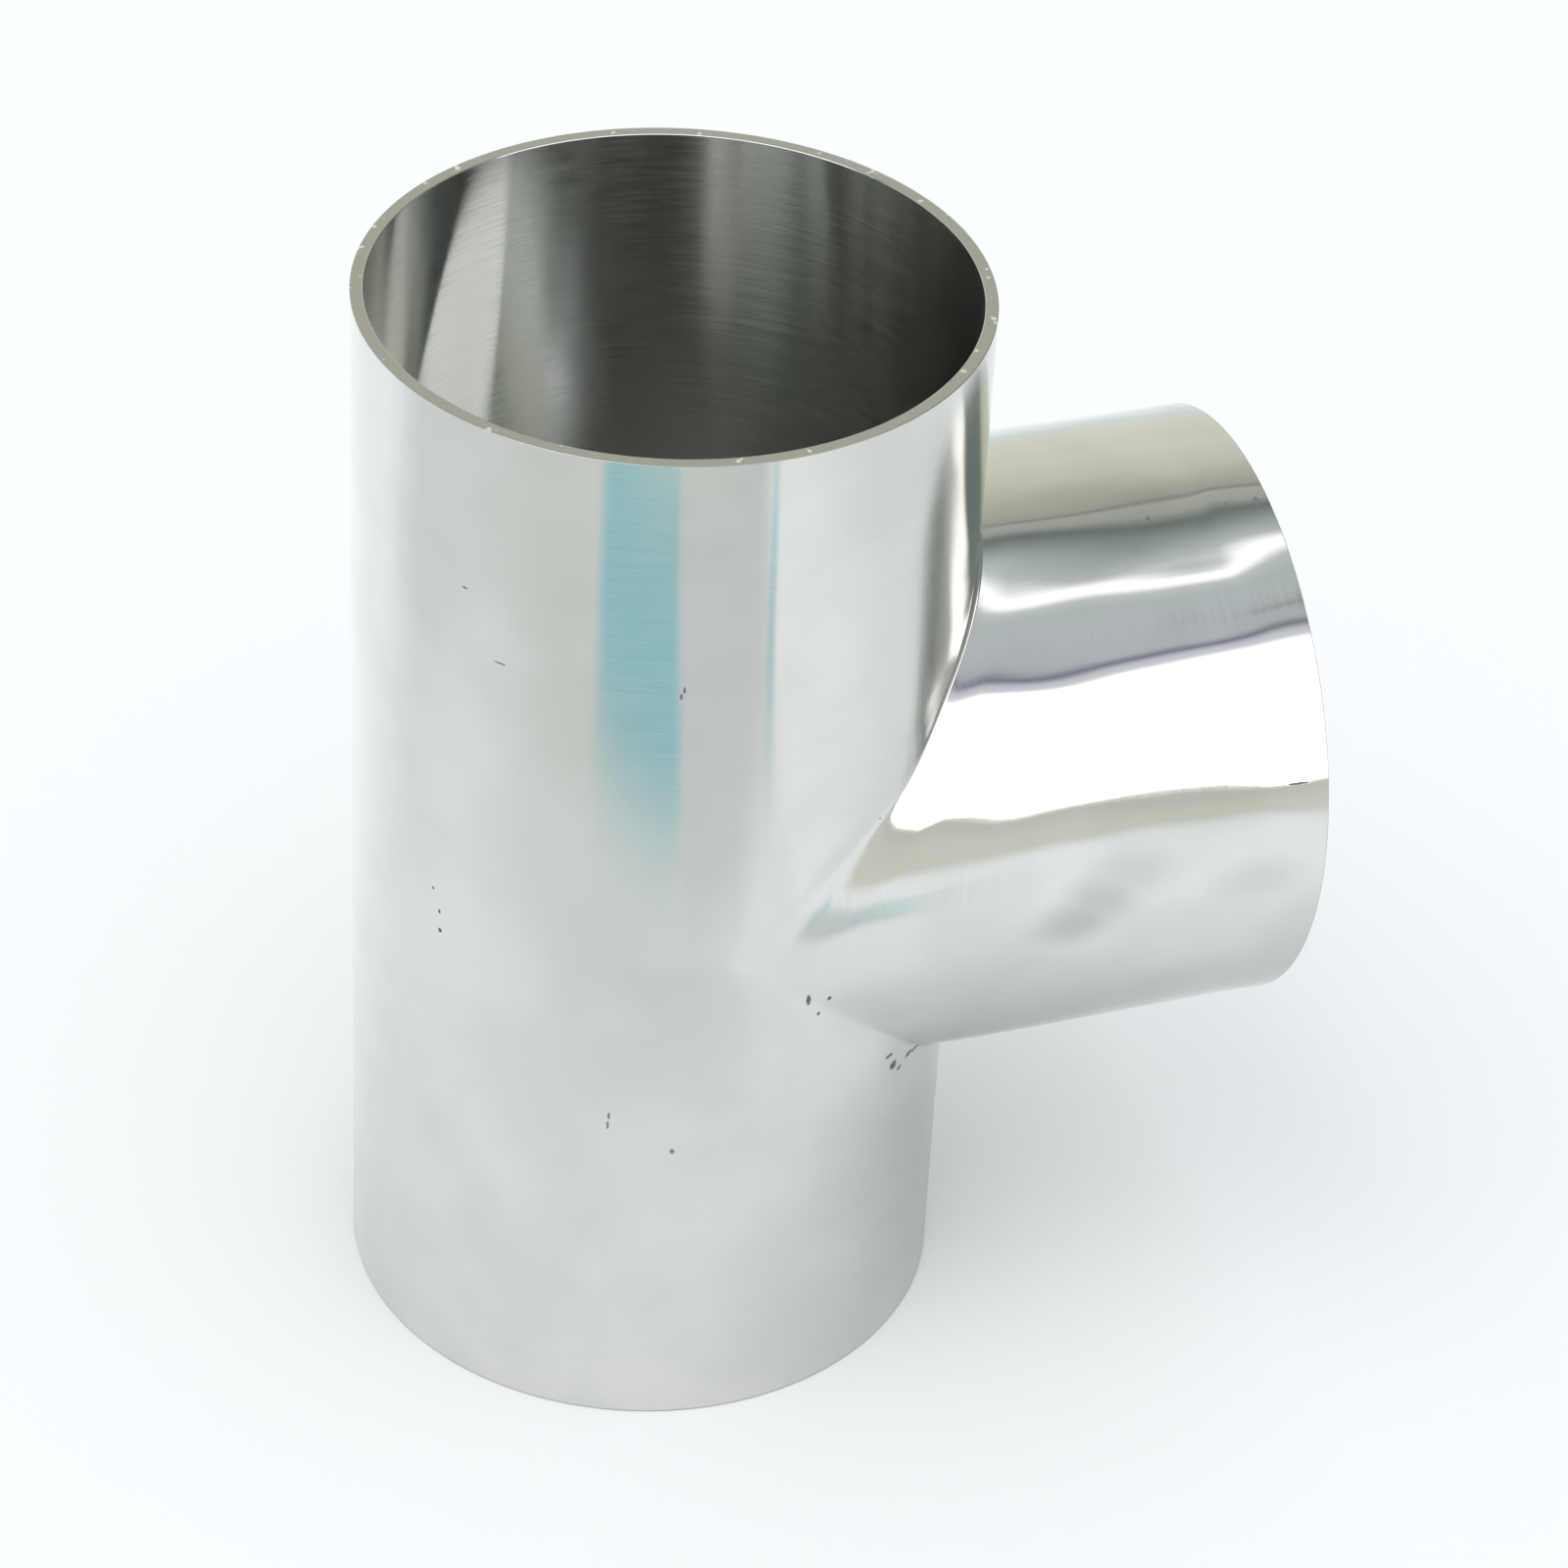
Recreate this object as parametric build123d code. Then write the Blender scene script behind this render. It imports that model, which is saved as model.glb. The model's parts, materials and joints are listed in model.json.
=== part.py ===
from build123d import *
from math import sqrt
import os

# Equal weld tee for sanitary tube, one piece drawn from stainless tube. All sizes are in millimetres.
# The run stands on its lower mouth: its axis is Z, and the centre of that mouth is the origin.
# The branch leaves the middle of the run along +X and has the run's own diameter.

# Driving dimensions
tube_diameter = 76.1    # outside, the same at all three mouths
wall = 1.6              # one thickness everywhere, through the crotch too
run_length = 144.0      # from mouth to mouth
branch_reach = 75.0     # from the run's axis to the branch's mouth
crotch_radius = 2.5     # hollow blend outside, where the branch leaves the run
edge_break = 0.2        # deburring of every rim

# Derived sizes
outer_radius = tube_diameter / 2
bore_radius = outer_radius - wall
branch_height = run_length / 2


def crossed_bars(radius):
    """Two round bars of one radius, run and branch, with their axes crossing at the origin."""
    run = Cylinder(radius, run_length)
    branch = Cylinder(radius, branch_reach, align=(Align.CENTER, Align.CENTER, Align.MIN))
    return run + Rot(0, 90, 0) * branch


def blend_slope(radius, blend):
    """Height over distance, seen along Y, of the line on which the blend leaves the run.

    Bars of one radius cross in a crease at 45 degrees. A ball rolled along the crease touches the run
    on a flat ellipse a little steeper than the crease, and the branch on the same ellipse turned over.
    """
    return 1 + blend / radius


def crease_notch(radius, blend):
    """The wedge round the upper crease, between the two ellipses on which the blend ends."""
    slope = blend_slope(radius, blend)
    reach = run_length + branch_reach
    outline = Polyline((0, 0), (reach, reach * slope), (reach * slope, reach), close=True)
    return extrude(make_face(Plane.XZ * outline), amount=2 * radius, both=True)


def blend_patch(radius, blend):
    """One quarter of the hollow blend, exact: a quarter ellipse along it, a quarter circle across it.

    Every section square to Y is the same corner, scaled by the half width of the bars at that Y.
    So the blend is widest in the middle plane, and closes to a point where the bars lie side by side.
    """
    slope = blend_slope(radius, blend)
    corner = ((1, slope), (1, 1), (slope, 1))
    along = [[(x * radius, 0, z * radius), (x * radius, radius, z * radius), (0, radius, 0)] for x, z in corner]
    quarter_turn = (1, sqrt(1 / 2), 1)
    weights = [[across * weight for weight in quarter_turn] for across in quarter_turn]
    return Face.make_bezier_surface(along, weights)


def blended_bars(radius, blend):
    """The crossed bars with both creases cut out and their blends sewn in."""
    notch = crease_notch(radius, blend)
    notched = (crossed_bars(radius) - notch - mirror(notch, about=Plane.XY)).faces()
    skin = notched.filter_by(GeomType.CYLINDER) + notched.filter_by(Axis.Z) + notched.filter_by(Axis.X)
    upper = [blend_patch(radius, blend)]
    upper += [mirror(patch, about=Plane.XZ) for patch in upper]
    lower = [mirror(patch, about=Plane.XY) for patch in upper]
    return Solid(Shell(skin + upper + lower))


def weld_tee():
    """Drawing keeps the wall even, so the blend of the bore is the outer one grown by the wall."""
    outside = blended_bars(outer_radius, crotch_radius)
    flow_path = blended_bars(bore_radius, crotch_radius + wall)
    shell = outside - flow_path
    rims = shell.edges().filter_by(GeomType.CIRCLE)
    return Pos(0, 0, branch_height) * chamfer(rims, length=edge_break)


os.makedirs("parts", exist_ok=True)
tee = weld_tee()
export_step(tee, "parts/weld_tee.step")
print("weld_tee", round(tee.volume / 1000, 2), "cm3,", len(tee.faces()), "faces, bore", bore_radius)
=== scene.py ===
# %% [markdown]
# # A stainless weld tee
# This piece joins three tubes of one size in pipework for food and drink. It is drawn from a single length
# of thin stainless tube: the straight run stands upright, and the branch is pulled out of its side. The
# CAD model fixes every size, so the first step is to load it, and everything below is measured from it.

# %% Load the frame
import json
from math import cos, exp, pi, radians, sin, sqrt

import bmesh
import bpy
from mathutils import Matrix, Vector, noise


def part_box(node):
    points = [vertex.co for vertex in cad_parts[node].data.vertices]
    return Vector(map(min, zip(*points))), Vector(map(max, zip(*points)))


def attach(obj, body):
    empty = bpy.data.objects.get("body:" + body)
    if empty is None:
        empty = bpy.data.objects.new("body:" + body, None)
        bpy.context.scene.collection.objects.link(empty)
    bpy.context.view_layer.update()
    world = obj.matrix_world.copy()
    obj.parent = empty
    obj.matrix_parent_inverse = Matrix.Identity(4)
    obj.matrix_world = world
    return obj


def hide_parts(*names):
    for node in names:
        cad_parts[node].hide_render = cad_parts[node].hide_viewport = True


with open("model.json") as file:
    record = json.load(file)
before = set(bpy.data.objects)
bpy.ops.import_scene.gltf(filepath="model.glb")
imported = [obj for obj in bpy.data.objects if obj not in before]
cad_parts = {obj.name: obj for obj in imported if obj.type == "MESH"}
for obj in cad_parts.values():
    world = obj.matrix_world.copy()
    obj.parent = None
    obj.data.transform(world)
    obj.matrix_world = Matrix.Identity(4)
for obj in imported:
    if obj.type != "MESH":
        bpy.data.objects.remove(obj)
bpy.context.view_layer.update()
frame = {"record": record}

MM = 0.001
low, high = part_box("weld_tee")
mounts = {mount["name"]: mount for mount in frame["record"]["mounts"]}
outer_radius = (high.y - low.y) / 2
bore_radius = mounts["run_bore"]["dims"]["r_mm"] * MM
wall = outer_radius - bore_radius
run_length = high.z
branch_height = run_length / 2
branch_reach = high.x
print("run", round(run_length / MM, 1), "mm, branch", round(branch_reach / MM, 1),
      "mm, radius", round(outer_radius / MM, 2), "mm, wall", round(wall / MM, 2), "mm")

# %% [markdown]
# ## The camera
# The picture is taken from a little above and to the left, with a long lens, so the two tubes hardly
# narrow with distance. Azimuth 0 would look straight along +Y. A roll of a few degrees leans the whole
# tee, as a hand-held camera does. The numbers come from fitting the outlines of the three mouths.

# %% Place the camera
lens_length = 119.67
view_azimuth = radians(-19.874)
view_elevation = radians(36.565)
view_roll = radians(3.215)
view_distance = 660.45 * MM
aim_point = Vector((17.04, 0, 68.43)) * MM


def camera_axes(azimuth, elevation, roll):
    """Right, up and back of a camera that looks at the tee from that side."""
    level = Vector((sin(azimuth), -cos(azimuth), 0))
    back = level * cos(elevation) + Vector((0, 0, sin(elevation)))
    right = Vector((0, 0, 1)).cross(back).normalized()
    up = back.cross(right)
    return right * cos(roll) + up * sin(roll), up * cos(roll) - right * sin(roll), back


lens = bpy.data.cameras.new("camera")
lens.lens = lens_length
lens.sensor_width = 36
camera = bpy.data.objects.new("camera", lens)
bpy.context.scene.collection.objects.link(camera)
right, up, back = camera_axes(view_azimuth, view_elevation, view_roll)
turn = Matrix((right, up, back)).transposed().to_4x4()
camera.matrix_world = Matrix.Translation(aim_point + back * view_distance) @ turn
bpy.context.scene.camera = camera
print("camera at", [round(value, 3) for value in camera.location])

# %% [markdown]
# ## One skin of the tee
# Two equal tubes cross in two flat ellipses, and a hollow blend softens the crease between them. A
# boolean would leave long thin triangles there, and a mirror finish shows every one. So each tube starts
# as a ring of long strips. A flat cut opens it exactly where the blend begins, and because both tubes
# have the same number of strips, the two edges match point by point and can be bridged.

# %% Tubes cut open for each other
columns = 240
rows = 46
blend_rows = 7
tiny = 1e-6


def strip_tube(bm, radius, length, turn):
    """A tube of long strips with no ends, from the origin along +Z, then turned into place."""
    made = bmesh.ops.create_cone(bm, cap_ends=False, segments=columns, radius1=radius,
                                 radius2=radius, depth=length)
    stand = Matrix.Translation((0, 0, length / 2))
    bmesh.ops.transform(bm, matrix=turn @ stand, verts=made["verts"])
    return made["verts"]


def cut_faces(bm, test, normal):
    """Cuts the faces that pass the test along the plane through the crossing of the two axes."""
    faces = {face for face in bm.faces if test(face.calc_center_median())}
    edges = {edge for face in faces for edge in face.edges}
    corners = {corner for face in faces for corner in face.verts}
    bmesh.ops.bisect_plane(bm, geom=[*faces, *edges, *corners], dist=tiny,
                           plane_co=(0, 0, branch_height), plane_no=normal)


def clear_faces(bm, test):
    """Deletes the faces that pass the test."""
    faces = [face for face in bm.faces if test(face.calc_center_median())]
    bmesh.ops.delete(bm, geom=faces, context="FACES")


def cut_lengthwise(bm, faces, axis, cuts):
    """Divides the long edges of strips, which lie along one axis."""
    long_edges = set()
    for face in faces:
        for edge in face.edges:
            along = edge.verts[1].co - edge.verts[0].co
            if abs(along[axis]) > 0.99 * along.length:
                long_edges.add(edge)
    bmesh.ops.subdivide_edges(bm, edges=list(long_edges), cuts=cuts, use_grid_fill=True)


def rise(point):
    """Height over or under the branch's axis."""
    return abs(point.z - branch_height)


def run_skin(radius, slope):
    """The run, opened on the +X side by a cut above and a cut below the branch."""
    bm = bmesh.new()
    strip_tube(bm, radius, run_length, Matrix.Identity(4))
    cut_faces(bm, lambda middle: middle.x < 0, (0, 0, 1))
    cut_faces(bm, lambda middle: middle.x > 0, (-slope, 0, 1))
    cut_faces(bm, lambda middle: middle.x > 0, (slope, 0, 1))
    clear_faces(bm, lambda middle: rise(middle) < slope * middle.x)
    cut_lengthwise(bm, bm.faces[:], 2, rows - 1)
    return bm


def branch_skin(radius, slope):
    """The branch, with its inner end cut to a wedge that fits the opening of the run."""
    bm = bmesh.new()
    along_x = Matrix.Translation((0, 0, branch_height)) @ Matrix.Rotation(pi / 2, 4, "Y")
    strip_tube(bm, radius, branch_reach, along_x)
    cut_faces(bm, lambda middle: middle.z > branch_height, (1, 0, -slope))
    cut_faces(bm, lambda middle: middle.z < branch_height, (1, 0, slope))
    clear_faces(bm, lambda middle: middle.x < slope * rise(middle))
    cut_lengthwise(bm, bm.faces[:], 0, rows - 1)
    return bm


# %% [markdown]
# ## The blend in the crotch
# A ball rolled along the crease touches both tubes. Seen square to the crease's middle plane its path is
# a quarter circle, and the circle shrinks to nothing at the sides, where the tubes lie side by side. The
# bridge between the two cut edges starts straight, and its inner points are then pushed out to the arc.

# %% Bridge the two tubes and round the bridge
def crease_edges(bm, side):
    """The cut edges of both tubes above (side 1) or below (side -1) the branch."""
    found = []
    for edge in bm.edges:
        middle = (edge.verts[0].co + edge.verts[1].co) / 2
        on_mouth = middle.x > branch_reach - tiny or rise(middle) > branch_height - tiny
        if edge.is_boundary and not on_mouth and side * (middle.z - branch_height) > tiny:
            found.append(edge)
    return found


def onto_arc(point, radius, blend, slope):
    """The nearest point of the quarter circle that lies in the section through this point."""
    half_width = sqrt(max(0.0, radius ** 2 - point.y ** 2))
    if half_width < 0.1 * MM:
        return point
    side = 1 if point.z > branch_height else -1
    centre = Vector((half_width * slope, branch_height + side * half_width * slope))
    spoke = Vector((point.x, point.z)) - centre
    on_arc = centre + spoke.normalized() * (half_width * blend / radius)
    return Vector((on_arc.x, point.y, on_arc.y))


def tee_skin(radius, blend):
    """One closed side of the tee, outside or bore: run, branch and the blend between them."""
    slope = 1 + blend / radius
    whole = bmesh.new()
    for part in (run_skin(radius, slope), branch_skin(radius, slope)):
        mesh = bpy.data.meshes.new("skin")
        part.to_mesh(mesh)
        part.free()
        whole.from_mesh(mesh)
        bpy.data.meshes.remove(mesh)
    for side in (1, -1):
        rails = set(crease_edges(whole, side))
        kept = {end for edge in rails for end in edge.verts}
        bridge = bmesh.ops.bridge_loops(whole, edges=list(rails))["faces"]
        rungs = {edge for face in bridge for edge in face.edges} - rails
        made = bmesh.ops.subdivide_edges(whole, edges=list(rungs), cuts=blend_rows - 1, use_grid_fill=True)
        for corner in [item for item in made["geom_inner"] if isinstance(item, bmesh.types.BMVert)]:
            if corner not in kept:
                corner.co = onto_arc(corner.co, radius, blend, slope)
    bmesh.ops.remove_doubles(whole, verts=whole.verts[:], dist=2 * tiny)
    return whole


def soften_flanks(bm):
    """Relaxes the crease where it runs out on the two flanks, as the buffing wheel does."""
    def near_crease(point, width):
        return abs(point.y) > 0.88 * outer_radius and abs(point.x - rise(point)) < width

    for width in (4 * MM, 6 * MM, 8 * MM) * 12:
        chosen = [corner for corner in bm.verts if near_crease(corner.co, width)]
        bmesh.ops.smooth_vert(bm, verts=chosen, factor=0.5, use_axis_x=True, use_axis_y=True, use_axis_z=True)


crotch_blend = 0.7 * MM
skins = [tee_skin(outer_radius, crotch_blend), tee_skin(bore_radius, crotch_blend + wall)]
soften_flanks(skins[0])
bmesh.ops.reverse_faces(skins[1], faces=skins[1].faces[:])
print("outside", len(skins[0].faces), "faces, bore", len(skins[1].faces), "faces")

# %% [markdown]
# ## From two skins to a wall
# The real wall is 1.6 mm thick. The two skins already lie that far apart, so the wall only needs its cut
# faces: a flat ring at each mouth. A real rim is deburred, never knife sharp, and the small bevel is what
# catches the light as a thin bright line.

# %% Join the skins, close the three mouths and break their edges
FINISHES = ("outside", "bore", "rim")
edge_break = 0.12 * MM


def join_skins(parts):
    """One bmesh of several, with each part's place in FINISHES as its faces' material number."""
    whole = bmesh.new()
    for number, part in enumerate(parts):
        for face in part.faces:
            face.material_index = number
        mesh = bpy.data.meshes.new("skin")
        part.to_mesh(mesh)
        part.free()
        whole.from_mesh(mesh)
        bpy.data.meshes.remove(mesh)
    return whole


def mouth_tests():
    """One test for each mouth: whether a point lies in its plane."""
    return (lambda point: point.z < tiny,
            lambda point: point.z > run_length - tiny,
            lambda point: point.x > branch_reach - tiny)


def close_mouths(bm):
    """Bridges the outer and the inner circle of each mouth."""
    for on_mouth in mouth_tests():
        circles = [edge for edge in bm.edges if edge.is_boundary and all(on_mouth(end.co) for end in edge.verts)]
        for face in bmesh.ops.bridge_loops(bm, edges=circles)["faces"]:
            face.material_index = FINISHES.index("rim")


def break_edges(bm):
    """Bevels the circles in which a rim meets the outside or the bore.

    The outer bevel is filed and dull like the rim, and the inner one is polished like the bore.
    """
    rim = FINISHES.index("rim")
    for neighbour, finish in ((FINISHES.index("outside"), rim), (FINISHES.index("bore"), FINISHES.index("bore"))):
        circles = [edge for edge in bm.edges
                   if {face.material_index for face in edge.link_faces} == {rim, neighbour}]
        bmesh.ops.bevel(bm, geom=circles, offset=edge_break, offset_type="OFFSET", segments=2, profile=0.5,
                        affect="EDGES", material=finish)


shell = join_skins(skins)
close_mouths(shell)
bmesh.ops.recalc_face_normals(shell, faces=shell.faces[:])
break_edges(shell)
print("wall closed:", not any(edge.is_boundary for edge in shell.edges), "- volume",
      round(shell.calc_volume() * 1e6, 2), "cm3")

# %% [markdown]
# ## The swell beside the crotch
# Pulling the branch out of the run also draws the run's wall outwards a little on both sides of the
# branch. The crease slides along the branch by more than a millimetre there, and dies away above and below. One smooth
# shift of the points along X does it, on both skins at once, so the wall keeps its thickness.

# %% Slide the crease outwards
swell = 1.4 * MM
swell_on_run = 17 * MM
swell_on_branch = 12 * MM


def bell(value, middle, spread):
    """1 at the middle, dying away on both sides."""
    return exp(-((value - middle) / spread) ** 2)


def slide_crease(bm):
    """Shifts points near the crease towards the branch's mouth, most near the flanks."""
    for corner in bm.verts:
        past_crease = corner.co.x - rise(corner.co)
        fade = swell_on_run if past_crease < 0 else swell_on_branch
        share = bell(abs(corner.co.y) / outer_radius, 0.88, 0.11) * bell(past_crease, 0, fade)
        corner.co.x += swell * share


slide_crease(shell)

# %% [markdown]
# ## Hand-made waves
# The run keeps the true form of the tube that it was. The branch was pulled out hot and then ground and
# buffed by hand, which leaves soft hollows a tenth of a millimetre deep. Nobody would feel them, but on a
# mirror finish they bend every reflection. The points move in and out, but at the flanks mostly in.

# %% Press soft hollows into the branch
branch_wave = 0.65 * MM
run_wave = 0.03 * MM
wave_length = 18.7 * MM
wave_start = Vector((6.31, 22.19, 5.33))
wave_end = 8 * MM


def branch_share(point):
    """0 on the run, 1 on the branch, and a smooth step across the crease."""
    step = 9 * MM
    place = (point.x - rise(point)) / step + 0.5
    place = min(1.0, max(0.0, place))
    return place * place * (3 - 2 * place)


def press_hollows(bm):
    """Moves the points of the outside in and out by a slow noise, most on the branch.

    At the flanks, where the tube touches the box of the CAD model, it moves them mostly in.
    """
    bm.normal_update()
    outside = {corner for face in bm.faces if face.material_index == 0 for corner in face.verts}
    for corner in outside:
        place = Vector((corner.co.x * 0.33, corner.co.y, corner.co.z)) / wave_length + wave_start
        wave = noise.noise(place) + 0.25 * noise.noise(place * 2.3) + 0.06 * noise.noise(place * 5)
        height = run_wave + (branch_wave - run_wave) * branch_share(corner.co)
        height *= min(1.0, (branch_reach - corner.co.x) / wave_end)
        flank = (max(abs(corner.co.y), -corner.co.x) / outer_radius) ** 6
        corner.co = corner.co + corner.normal * height * (wave - 0.75 * flank)


press_hollows(shell)

# %% Make the tee one piece that rides on the frame
def finish_mesh(bm, name):
    """A mesh object at the origin, smooth except where two faces meet at more than 20 degrees."""
    for face in bm.faces:
        face.smooth = True
    for edge in bm.edges:
        edge.smooth = edge.calc_face_angle(0) < radians(20)
    mesh = bpy.data.meshes.new(name)
    bm.to_mesh(mesh)
    bm.free()
    piece = bpy.data.objects.new(name, mesh)
    bpy.context.scene.collection.objects.link(piece)
    return piece


tee = finish_mesh(shell, "tee_shell")
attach(tee, "root")
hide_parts("weld_tee")
print("tee_shell", len(tee.data.polygons), "faces")

# %% [markdown]
# ## Stainless steel, three finishes
# Stainless steel is a plain grey metal, so its colour hardly changes; only its surface does. Abrasive
# belts ran round the run and left hair lines round it, and a buffing wheel then went over the branch and
# the crotch. Lines round a tube smear a reflection along the tube and leave it sharp across, so the
# shader is anisotropic and its tangent follows each tube's axis.

# %% Helpers for colours and nodes
def linear(code):
    """An sRGB hex colour, such as #d0d0d0, as linear red, green, blue and full alpha."""
    parts = [int(code[place:place + 2], 16) / 255 for place in (1, 3, 5)]
    return [part / 12.92 if part <= 0.04045 else ((part + 0.055) / 1.055) ** 2.4 for part in parts] + [1]


def add_node(tree, kind, inputs=None, **settings):
    """Adds a node, sets its own settings, and feeds its inputs with sockets or plain values."""
    node = tree.nodes.new(kind)
    for name, value in settings.items():
        setattr(node, name, value)
    for name, value in (inputs or {}).items():
        if isinstance(value, bpy.types.NodeSocket):
            tree.links.new(value, node.inputs[name])
        else:
            node.inputs[name].default_value = value
    return node


def new_finish(name):
    """An empty material, its node tree and its Principled shader, set to bare metal."""
    material = bpy.data.materials.new(name)
    material.use_nodes = True
    tree = material.node_tree
    shader = tree.nodes["Principled BSDF"]
    shader.inputs["Metallic"].default_value = 1
    return material, tree, shader


def object_place(tree):
    """The place on the piece, in metres."""
    return add_node(tree, "ShaderNodeTexCoord").outputs["Object"]


def calculate(tree, operation, first, second=0.0):
    """One step of arithmetic."""
    return add_node(tree, "ShaderNodeMath", {0: first, 1: second}, operation=operation).outputs[0]


def ease(tree, value, start, end, low=0.0, high=1.0):
    """Goes smoothly from low to high while the value goes from start to end."""
    return add_node(tree, "ShaderNodeMapRange", {"Value": value, "From Min": start, "From Max": end,
                                                 "To Min": low, "To Max": high},
                    interpolation_type="SMOOTHSTEP").outputs["Result"]


def mix_values(tree, share, first, second):
    """A value that goes from first to second with the share."""
    return add_node(tree, "ShaderNodeMix", {"Factor": share, "A": first, "B": second}).outputs[0]


def mix_colours(tree, share, first, second):
    """A colour that goes from first to second with the share."""
    return add_node(tree, "ShaderNodeMix", {0: share, 6: first, 7: second}, data_type="RGBA").outputs[2]


def brush_lines(tree, place, axis, spacing, length):
    """Fine lines round an axis: noise squeezed to the spacing along it and drawn out along the others."""
    scale = [1 / length] * 3
    scale[axis] = 1 / spacing
    mapped = add_node(tree, "ShaderNodeVectorMath", {0: place, 1: scale}, operation="MULTIPLY")
    return add_node(tree, "ShaderNodeTexNoise", {"Vector": mapped.outputs[0], "Scale": 1, "Detail": 3,
                                                 "Roughness": 0.6}).outputs["Fac"]


def turned_about(tree, place):
    """Two sockets: how far a point is past the crease towards the branch, and the axis of its tube."""
    split = add_node(tree, "ShaderNodeSeparateXYZ", {0: place}).outputs
    rise_here = calculate(tree, "ABSOLUTE", calculate(tree, "SUBTRACT", split["Z"], branch_height))
    past_crease = calculate(tree, "SUBTRACT", split["X"], rise_here)
    on_branch = ease(tree, past_crease, -9 * MM, 9 * MM)
    axis = add_node(tree, "ShaderNodeMix", {0: on_branch, 4: (0, 0, 1), 5: (1, 0, 0)}, data_type="VECTOR")
    return past_crease, axis.outputs[1]


# %% Outside
# Each mark: its middle, then half its width, depth and height, all in mm.
MARKS = (((-9.4, -36.9, 112.4), (0.25, 1.0, 0.5)), ((-9.1, -37.0, 113.3), (0.22, 1.0, 0.6)),
         ((-28.0, -25.8, 112.8), (0.7, 1.2, 0.12)), ((-31.2, -21.8, 121.3), (0.35, 0.5, 0.15)),
         ((-33.6, -17.8, 75.1), (0.15, 0.3, 0.25)), ((-33.1, -18.8, 72.1), (0.15, 0.3, 0.35)),
         ((-33.0, -18.9, 69.3), (0.3, 0.4, 0.35)), ((-15.8, -34.6, 48.9), (0.15, 1.0, 0.6)),
         ((-15.9, -34.5, 47.4), (0.15, 1.0, 0.7)), ((-8.3, -37.1, 43.6), (0.35, 1.0, 0.4)),
         ((8.4, -37.2, 64.0), (0.35, 1.5, 0.8)), ((11.2, -37.0, 63.4), (0.3, 1.5, 0.35)),
         ((9.9, -36.7, 61.3), (0.3, 1.5, 0.25)), ((21.2, -31.6, 48.7), (0.8, 1.8, 0.3)),
         ((22.1, -31.0, 46.6), (0.7, 1.8, 0.8)), ((23.3, -30.1, 45.1), (0.45, 1.8, 0.35)),
         ((25.1, -28.6, 45.6), (0.8, 1.8, 0.4)), ((26.6, -27.2, 45.1), (1.6, 1.8, 0.25)),
         ((17.0, -35.2, 88.2), (0.4, 1.0, 0.25)), ((71.0, -36.0, 84.3), (1.5, 1.5, 0.12)))
PITS = (((59.1, -9.8, 108.8), (0.35, 0.5, 1.0)), ((69.6, -9.4, 108.9), (0.3, 0.4, 1.0)),
        ((73.4, -9.8, 108.8), (0.4, 0.7, 1.0)))
# Each painted reflection of a dark shade on the branch: its middle and half its size in mm, and its strength.
PAINTED_REFLECTION_PATCHES = (((49.0, -38, 75.8), (8, 10, 6), 0.26), ((45.5, -38, 72.6), (8, 10, 6), 0.40),
          ((42.3, -38, 69.8), (8, 10, 5.5), 0.44), ((66, -38, 72), (9, 10, 4.5), 0.20))


def distance_in_halves(tree, place, middle, half):
    """How far a place is from the middle of an ellipsoid: 1 on its skin. Sizes are in mm."""
    from_middle = add_node(tree, "ShaderNodeVectorMath", {0: place, 1: Vector(middle) * MM}, operation="SUBTRACT")
    in_halves = add_node(tree, "ShaderNodeVectorMath", {0: from_middle.outputs[0], 1: Vector(half) * MM},
                         operation="DIVIDE")
    return add_node(tree, "ShaderNodeVectorMath", {0: in_halves.outputs[0]}, operation="LENGTH").outputs["Value"]


def mark_mask(tree, place, marks):
    """1 inside small marks, ragged at their edges, and 0 elsewhere."""
    grain = add_node(tree, "ShaderNodeTexNoise", {"Vector": place, "Scale": 1 / (0.5 * MM), "Detail": 2})
    mask = 0.0
    for middle, half in marks:
        ragged = calculate(tree, "ADD", distance_in_halves(tree, place, middle, half), grain.outputs["Fac"])
        mask = calculate(tree, "MAXIMUM", mask, ease(tree, ragged, 1.6, 1.2))
    return mask


def painted_reflection_mask(tree, place):
    """Painted reflection: soft dark patches where a shade is mirrored on the branch, strongest in the middle."""
    mask = 0.0
    for middle, half, strength in PAINTED_REFLECTION_PATCHES:
        away = distance_in_halves(tree, place, middle, half)
        mask = calculate(tree, "MAXIMUM", mask, ease(tree, away, 1, 0.1, 0, strength))
    return mask


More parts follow.
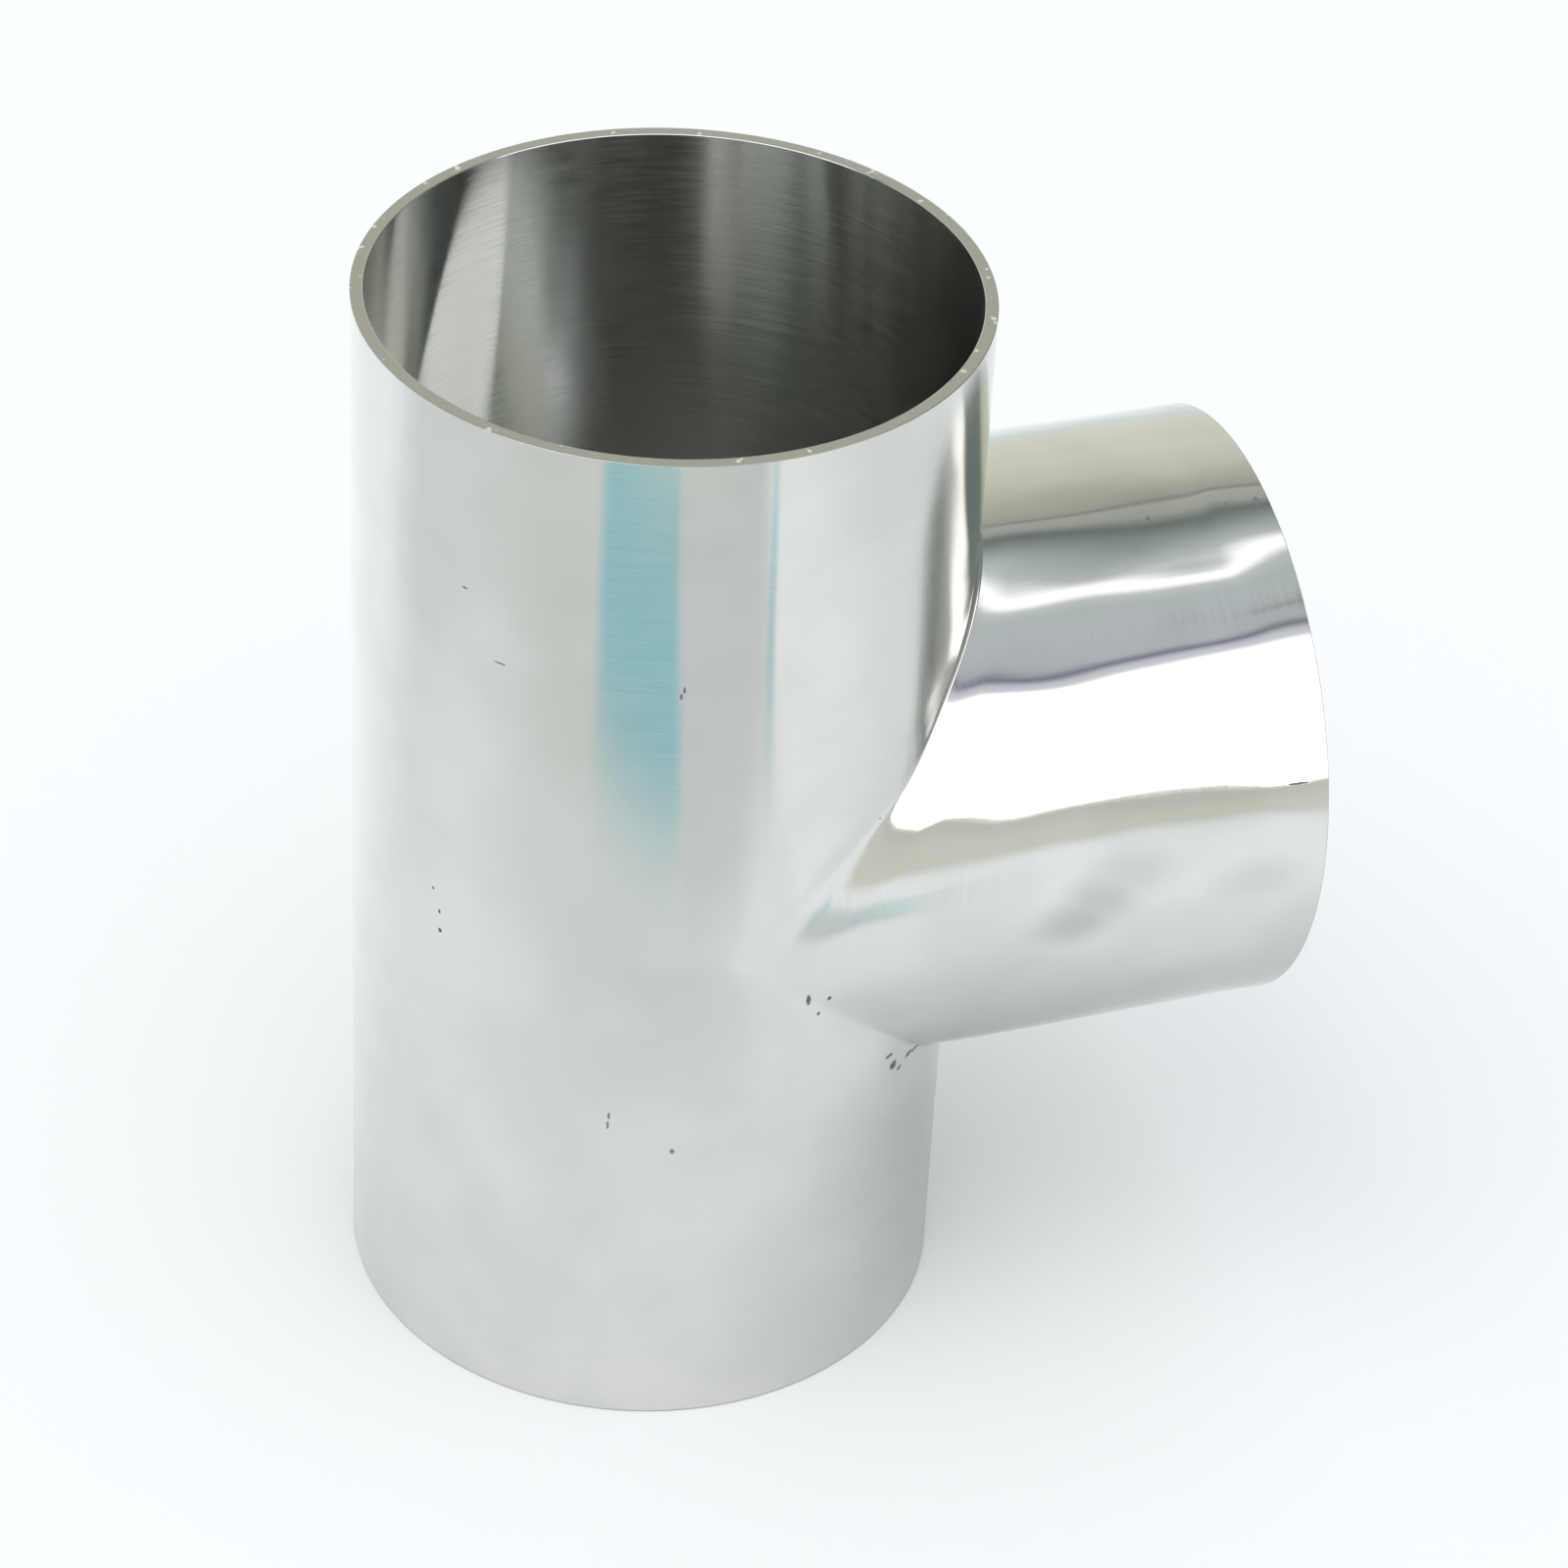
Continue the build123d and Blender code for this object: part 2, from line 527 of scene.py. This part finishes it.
def outside_finish():
    """Fine satin on the run and a buffed mirror on the branch, with a soft change across the crotch."""
    material, tree, shader = new_finish("belt_brushed_and_buffed_stainless")
    place = object_place(tree)
    past_crease, axis = turned_about(tree, place)
    on_branch = ease(tree, past_crease, -9 * MM, 9 * MM)
    buffed = ease(tree, past_crease, -26 * MM, -2 * MM)
    run_lines = brush_lines(tree, place, 2, 0.25 * MM, 14 * MM)
    branch_lines = brush_lines(tree, place, 0, 0.5 * MM, 14 * MM)
    lines = mix_values(tree, on_branch, run_lines, branch_lines)
    marks = mark_mask(tree, place, MARKS)
    pits = mark_mask(tree, place, PITS)
    satin = ease(tree, lines, 0.3, 0.7, 0.105, 0.135)
    mirror = ease(tree, lines, 0.3, 0.7, 0.05, 0.09)
    height = add_node(tree, "ShaderNodeSeparateXYZ", {0: place}).outputs["Z"]
    buffed = calculate(tree, "MULTIPLY", buffed, ease(tree, height, branch_height - 2 * MM, branch_height + 13 * MM))
    broken = calculate(tree, "MAXIMUM", marks, pits)
    roughness = mix_values(tree, broken, mix_values(tree, buffed, satin, mirror), 0.6)
    cloud = add_node(tree, "ShaderNodeTexNoise", {"Vector": place, "Scale": 1 / (15 * MM), "Detail": 2})
    clean = mix_colours(tree, ease(tree, cloud.outputs["Fac"], 0.35, 0.65), linear("#dadad8"), linear("#d4d5d2"))
    # Painted reflection: these patches darken the branch's colour where a dark shade is mirrored there.
    with_painted_reflection = mix_colours(tree, painted_reflection_mask(tree, place), clean, linear("#8b8c90"))
    colour = mix_colours(tree, marks, with_painted_reflection, linear("#8e9293"))
    depth = calculate(tree, "SUBTRACT", calculate(tree, "MULTIPLY", lines, 0.0008), calculate(tree, "MULTIPLY", marks, 0.04))
    relief = add_node(tree, "ShaderNodeBump", {"Height": depth, "Strength": 1, "Distance": 1 * MM})
    shader.inputs["Anisotropic"].default_value = 1.0
    tree.links.new(colour, shader.inputs["Base Color"])
    tree.links.new(roughness, shader.inputs["Roughness"])
    tree.links.new(axis, shader.inputs["Tangent"])
    tree.links.new(relief.outputs[0], shader.inputs["Normal"])
    return material


# %% Bore
def bore_finish():
    """The bore keeps the fine lines of the tube maker's brush, and is nearly a mirror."""
    material, tree, shader = new_finish("fine_brushed_bore_stainless")
    place = object_place(tree)
    lines = brush_lines(tree, place, 2, 0.3 * MM, 9 * MM)
    relief = add_node(tree, "ShaderNodeBump", {"Height": lines, "Strength": 1, "Distance": 0.002 * MM})
    # Painted reflection tint: the bore's colour turns cooler and a touch lighter towards the branch side.
    painted_reflection_tint = ease(tree, add_node(tree, "ShaderNodeSeparateXYZ", {0: place}).outputs["X"], 5 * MM, 32 * MM)
    colour = mix_colours(tree, painted_reflection_tint, linear("#cecdc7"), linear("#cfd2d2"))
    shader.inputs["Anisotropic"].default_value = 1.0
    tree.links.new(colour, shader.inputs["Base Color"])
    tree.links.new(turned_about(tree, place)[1], shader.inputs["Tangent"])
    tree.links.new(ease(tree, lines, 0.3, 0.7, 0.10, 0.16), shader.inputs["Roughness"])
    tree.links.new(relief.outputs[0], shader.inputs["Normal"])
    return material


# %% Rims
def rim_finish():
    """The rims are faced on a lathe and filed, which leaves them dull; a few smoother nicks carry painted glints."""
    material, tree, shader = new_finish("faced_rim_stainless")
    place = object_place(tree)
    grain = add_node(tree, "ShaderNodeTexNoise", {"Vector": place, "Scale": 1 / (0.6 * MM), "Detail": 3})
    spots = add_node(tree, "ShaderNodeTexNoise", {"Vector": place, "Scale": 1 / (1.3 * MM), "Detail": 1})
    nicks_and_painted_glints = ease(tree, spots.outputs["Fac"], 0.68, 0.74)
    colour = mix_colours(tree, grain.outputs["Fac"], linear("#adafaa"), linear("#c0c0ba"))
    # Painted glints: the nicks' colour is near white, brighter than the steel itself.
    tree.links.new(mix_colours(tree, nicks_and_painted_glints, colour, linear("#f0f0ee")), shader.inputs["Base Color"])
    dull = ease(tree, grain.outputs["Fac"], 0.3, 0.7, 0.3, 0.5)
    tree.links.new(mix_values(tree, nicks_and_painted_glints, dull, 0.15), shader.inputs["Roughness"])
    return material


for finish in (outside_finish(), bore_finish(), rim_finish()):
    tee.data.materials.append(finish)

# %% [markdown]
# ## Floor, light and things to mirror
# Steel shows what stands round it more than its own colour. The floor and the light are plain, as in a
# studio. What the steel mirrors is set up apart: a second floor and a sky that only reflections see, with
# the soft zones that a studio for metal has: white panels, a beige wall, and thin dark gaps between them.

# %% Plain floor
def flat_card(name, height, size):
    """A level square whose middle lies on the Z axis."""
    bm = bmesh.new()
    bmesh.ops.create_grid(bm, x_segments=1, y_segments=1, size=size / 2)
    bmesh.ops.translate(bm, vec=(0, 0, height), verts=bm.verts[:])
    mesh = bpy.data.meshes.new(name)
    bm.to_mesh(mesh)
    bm.free()
    card = bpy.data.objects.new(name, mesh)
    bpy.context.scene.collection.objects.link(card)
    return card


def matt_paint(card):
    """A matt paint, and its node tree and shader."""
    material = bpy.data.materials.new(card.name + "_paint")
    material.use_nodes = True
    shader = material.node_tree.nodes["Principled BSDF"]
    shader.inputs["Specular IOR Level"].default_value = 0
    shader.inputs["Roughness"].default_value = 1
    card.data.materials.append(material)
    return material.node_tree, shader


floor = flat_card("floor", -0.05 * MM, 12)
matt_paint(floor)[1].inputs["Base Color"].default_value = linear("#eff1f1")

# %% Floor as the steel sees it
def window_mask(tree, value, first, last, soft_first, soft_last):
    """1 while the value lies between first and last, with a soft step at each."""
    return calculate(tree, "MULTIPLY", ease(tree, value, first - soft_first, first + soft_first),
                     ease(tree, value, last + soft_last, last - soft_last))


# Each soft shade on the mirrored floor: its middle in mm, half its size along X and Y, and its strength.
FLOOR_SHADES = (((50, -15), (70, 70), 0.21), ((120, -40), (90, 90), 0.2))


def mirrored_floor():
    """Seen only in reflections: a near floor dimming in front, a blue-green sheet, a grey zone, painted shades."""
    card = flat_card("mirrored_floor", -0.03 * MM, 12)
    tree, shader = matt_paint(card)
    place = object_place(tree)
    sideways = add_node(tree, "ShaderNodeVectorMath", {0: place, 1: (0.9405, -0.3399, 0)}, operation="DOT_PRODUCT")
    frontwards = add_node(tree, "ShaderNodeVectorMath", {0: place, 1: (-0.3399, -0.9405, 0)}, operation="DOT_PRODUCT")
    sideways, frontwards = sideways.outputs["Value"], frontwards.outputs["Value"]
    split = add_node(tree, "ShaderNodeSeparateXYZ", {0: place}).outputs
    later = calculate(tree, "SUBTRACT", frontwards, ease(tree, split["X"], 0.02, 0.045, 0, 0.05))
    colour = mix_colours(tree, ease(tree, later, 0.05, 0.20), linear("#f1f3f2"), linear("#d6d8d4"))
    colour = mix_colours(tree, ease(tree, sideways, -0.12, -0.24), colour, linear("#dcdedb"))
    colour = mix_colours(tree, ease(tree, frontwards, 0.01, -0.09), colour, linear("#fbffff"))
    colour = mix_colours(tree, ease(tree, split["X"], 0.065, 0.068), colour, linear("#f8faf9"))
    colour = mix_colours(tree, ease(tree, split["X"], 0.12, 0.20), colour, linear("#eceeec"))
    colour = mix_colours(tree, ease(tree, split["X"], 0.26, 0.36), colour, linear("#c9cdcb"))
    colour = mix_colours(tree, ease(tree, frontwards, -0.45, -0.80), colour, linear("#e6eef0"))
    grey = calculate(tree, "MULTIPLY", window_mask(tree, split["X"], -0.060, 0.067, 0.002, 0.0015),
                     calculate(tree, "MULTIPLY", ease(tree, sideways, 0.028, 0.034), ease(tree, frontwards, 0.12, 0.16)))
    colour = mix_colours(tree, grey, colour, linear("#d0d5d2"))
    colour = mix_colours(tree, ease(tree, frontwards, 0.23, 0.37), colour, linear("#d8dacd"))
    lean_left = calculate(tree, "ADD", sideways, calculate(tree, "MULTIPLY", frontwards, 0.338))
    lean_right = calculate(tree, "ADD", sideways, calculate(tree, "MULTIPLY", frontwards, 0.09))
    lean_near = calculate(tree, "ADD", frontwards, calculate(tree, "MULTIPLY", sideways, 0.226))
    sheet = calculate(tree, "MULTIPLY", ease(tree, lean_left, -0.012, 0.012), ease(tree, lean_right, 0.047, 0.045))
    sheet = calculate(tree, "MULTIPLY", sheet, window_mask(tree, lean_near, 0.166, 0.260, 0.006, 0.01))
    lean_cloth = calculate(tree, "ADD", split["X"], calculate(tree, "MULTIPLY", split["Y"], 0.3))
    cloth = calculate(tree, "MULTIPLY", window_mask(tree, lean_cloth, 0.0005, 0.010, 0.003, 0.004),
                      window_mask(tree, split["Y"], -0.245, -0.178, 0.012, 0.010))
    for middle, half, strength in FLOOR_SHADES:
        away = distance_in_halves(tree, place, (*middle, 0), (*half, 1000))
        colour = mix_colours(tree, ease(tree, away, 1, 0.2, 0, strength), colour, linear("#858a96"))
    teal = calculate(tree, "MAXIMUM", sheet, calculate(tree, "MULTIPLY", cloth, 0.75))
    tree.links.new(mix_colours(tree, teal, colour, linear("#86c3cc")), shader.inputs["Base Color"])
    card.visible_camera = False
    card.visible_diffuse = False
    card.visible_shadow = False


mirrored_floor()

# %% Side wall as the steel sees it
# Its tones by height in metres: hex colour and brightness.
WALL = ((0.0, "#c4cac8", 1.0), (0.10, "#adb3b0", 1.0), (0.25, "#a0a6a3", 1.0), (0.30, "#b4b8b5", 1.0),
        (0.38, "#c8cbc8", 1.0), (0.46, "#cfd1ce", 1.0), (0.51, "#fffff8", 2.3), (0.69, "#fffff8", 2.3),
        (0.75, "#9aa49e", 1.0), (0.84, "#8b958f", 1.0), (1.15, "#7c847c", 1.0))


def tone_ramp(tree, share, tones, whole):
    """A ramp over tones given as place, colour and brightness; returns its colour and its full strength."""
    ramp = add_node(tree, "ShaderNodeValToRGB", {"Fac": share})
    stops = ramp.color_ramp.elements
    while len(stops) < len(tones):
        stops.new(1)
    brightest = max(bright for place, colour, bright in tones)
    for stop, (place, colour, bright) in zip(stops, tones):
        stop.position = place / whole
        stop.color = [channel * bright / brightest for channel in linear(colour)[:3]] + [1]
    return ramp.outputs["Color"], brightest


def side_wall(distance, azimuth, left, right, height):
    """An upright card that only reflections see; the azimuth is in degrees from -Y towards +X."""
    card = flat_card("mirrored_wall", 0, 1)
    away = Vector((sin(radians(azimuth)), -cos(radians(azimuth)), 0))
    level = Vector((0, 0, 1)).cross(away)
    for corner in card.data.vertices:
        across = left if corner.co.x < 0 else right
        rise_here = 0 if corner.co.y < 0 else height
        corner.co = away * distance + level * across + Vector((0, 0, rise_here))
    tree, shader = matt_paint(card)
    place = object_place(tree)
    risen = add_node(tree, "ShaderNodeSeparateXYZ", {0: place}).outputs["Z"]
    colour, strength = tone_ramp(tree, calculate(tree, "DIVIDE", risen, height), WALL, height)
    across = add_node(tree, "ShaderNodeVectorMath", {0: place, 1: level}, operation="DOT_PRODUCT").outputs["Value"]
    dark = [channel / strength for channel in linear("#88938e")[:3]] + [1]
    colour = mix_colours(tree, ease(tree, across, 0.05, 0.12), colour, dark)
    shader.inputs["Base Color"].default_value = (0, 0, 0, 1)
    shader.inputs["Emission Strength"].default_value = strength
    tree.links.new(colour, shader.inputs["Emission Color"])
    card.visible_camera = False
    card.visible_diffuse = False
    card.visible_shadow = False
    print("wall from", [round(v, 2) for v in card.data.vertices[0].co], "to", [round(v, 2) for v in card.data.vertices[3].co])


side_wall(0.6, 80, -0.33, 0.71, 1.15)

# %% Light and sky
# The sky's colours by degrees from the back horizon, over the top, to the front horizon.
SKY = ((0, "#eef1e6", 1.0), (30, "#e9eadb", 1.0), (42, "#dedfd0", 1.0), (50, "#c6c8ba", 1.0),
       (58, "#b2b5a9", 1.0), (59.3, "#8d9085", 1.0),
       (60.5, "#bfc2b8", 1.0), (65.5, "#b4b9b1", 1.0), (69, "#78837e", 1.0),
       (72, "#8f9c97", 1.0), (77, "#b4beba", 1.0), (82, "#d3dbd8", 1.0), (85, "#ffffff", 1.6),
       (87.5, "#ffffff", 1.6), (91, "#dbe3e3", 1.0), (97, "#ccd5d7", 1.0), (110, "#d0d6da", 1.0),
       (117, "#c9cdd5", 1.0), (119.5, "#858a94", 1.0), (121.5, "#dcdee8", 1.0), (124, "#eef0fa", 1.0),
       (126, "#fffbff", 2.1), (179, "#fffdff", 2.1))


def studio_sky(strength):
    """Plain soft light for all but reflections, which see panels laid round the X axis like an arch."""
    world = bpy.data.worlds.new("studio")
    world.use_nodes = True
    tree = world.node_tree
    plain = tree.nodes["Background"]
    plain.inputs["Color"].default_value = linear("#f4f6f8")
    plain.inputs["Strength"].default_value = strength
    towards = add_node(tree, "ShaderNodeSeparateXYZ", {0: add_node(tree, "ShaderNodeTexCoord").outputs["Generated"]})
    turned = calculate(tree, "ARCTAN2", towards.outputs["Z"], towards.outputs["Y"])
    colour, brightest = tone_ramp(tree, calculate(tree, "DIVIDE", turned, pi), SKY, 180)
    panels = add_node(tree, "ShaderNodeBackground", {"Color": colour, "Strength": brightest})
    reflected = add_node(tree, "ShaderNodeLightPath").outputs["Is Glossy Ray"]
    both = add_node(tree, "ShaderNodeMixShader", {0: reflected, 1: plain.outputs[0], 2: panels.outputs[0]})
    tree.links.new(both.outputs[0], tree.nodes["World Output"].inputs["Surface"])
    bpy.context.scene.world = world


def soft_box(name, place, target, size, power):
    """A square area light that looks at a point."""
    data = bpy.data.lights.new(name, "AREA")
    data.shape = "SQUARE"
    data.size = size
    data.energy = power
    light = bpy.data.objects.new(name, data)
    bpy.context.scene.collection.objects.link(light)
    place = Vector(place)
    aim = (place - Vector(target)).to_track_quat("Z", "Y").to_matrix().to_4x4()
    light.matrix_world = Matrix.Translation(place) @ aim
    light.visible_glossy = False
    return light


studio_sky(1.10)
soft_box("key", (-0.35, -0.25, 1.3), (0, 0, 0.05), 1.0, 3.6)
bpy.context.scene.view_settings.view_transform = "Standard"
bpy.context.scene.cycles.max_bounces = 24
bpy.context.scene.cycles.glossy_bounces = 24
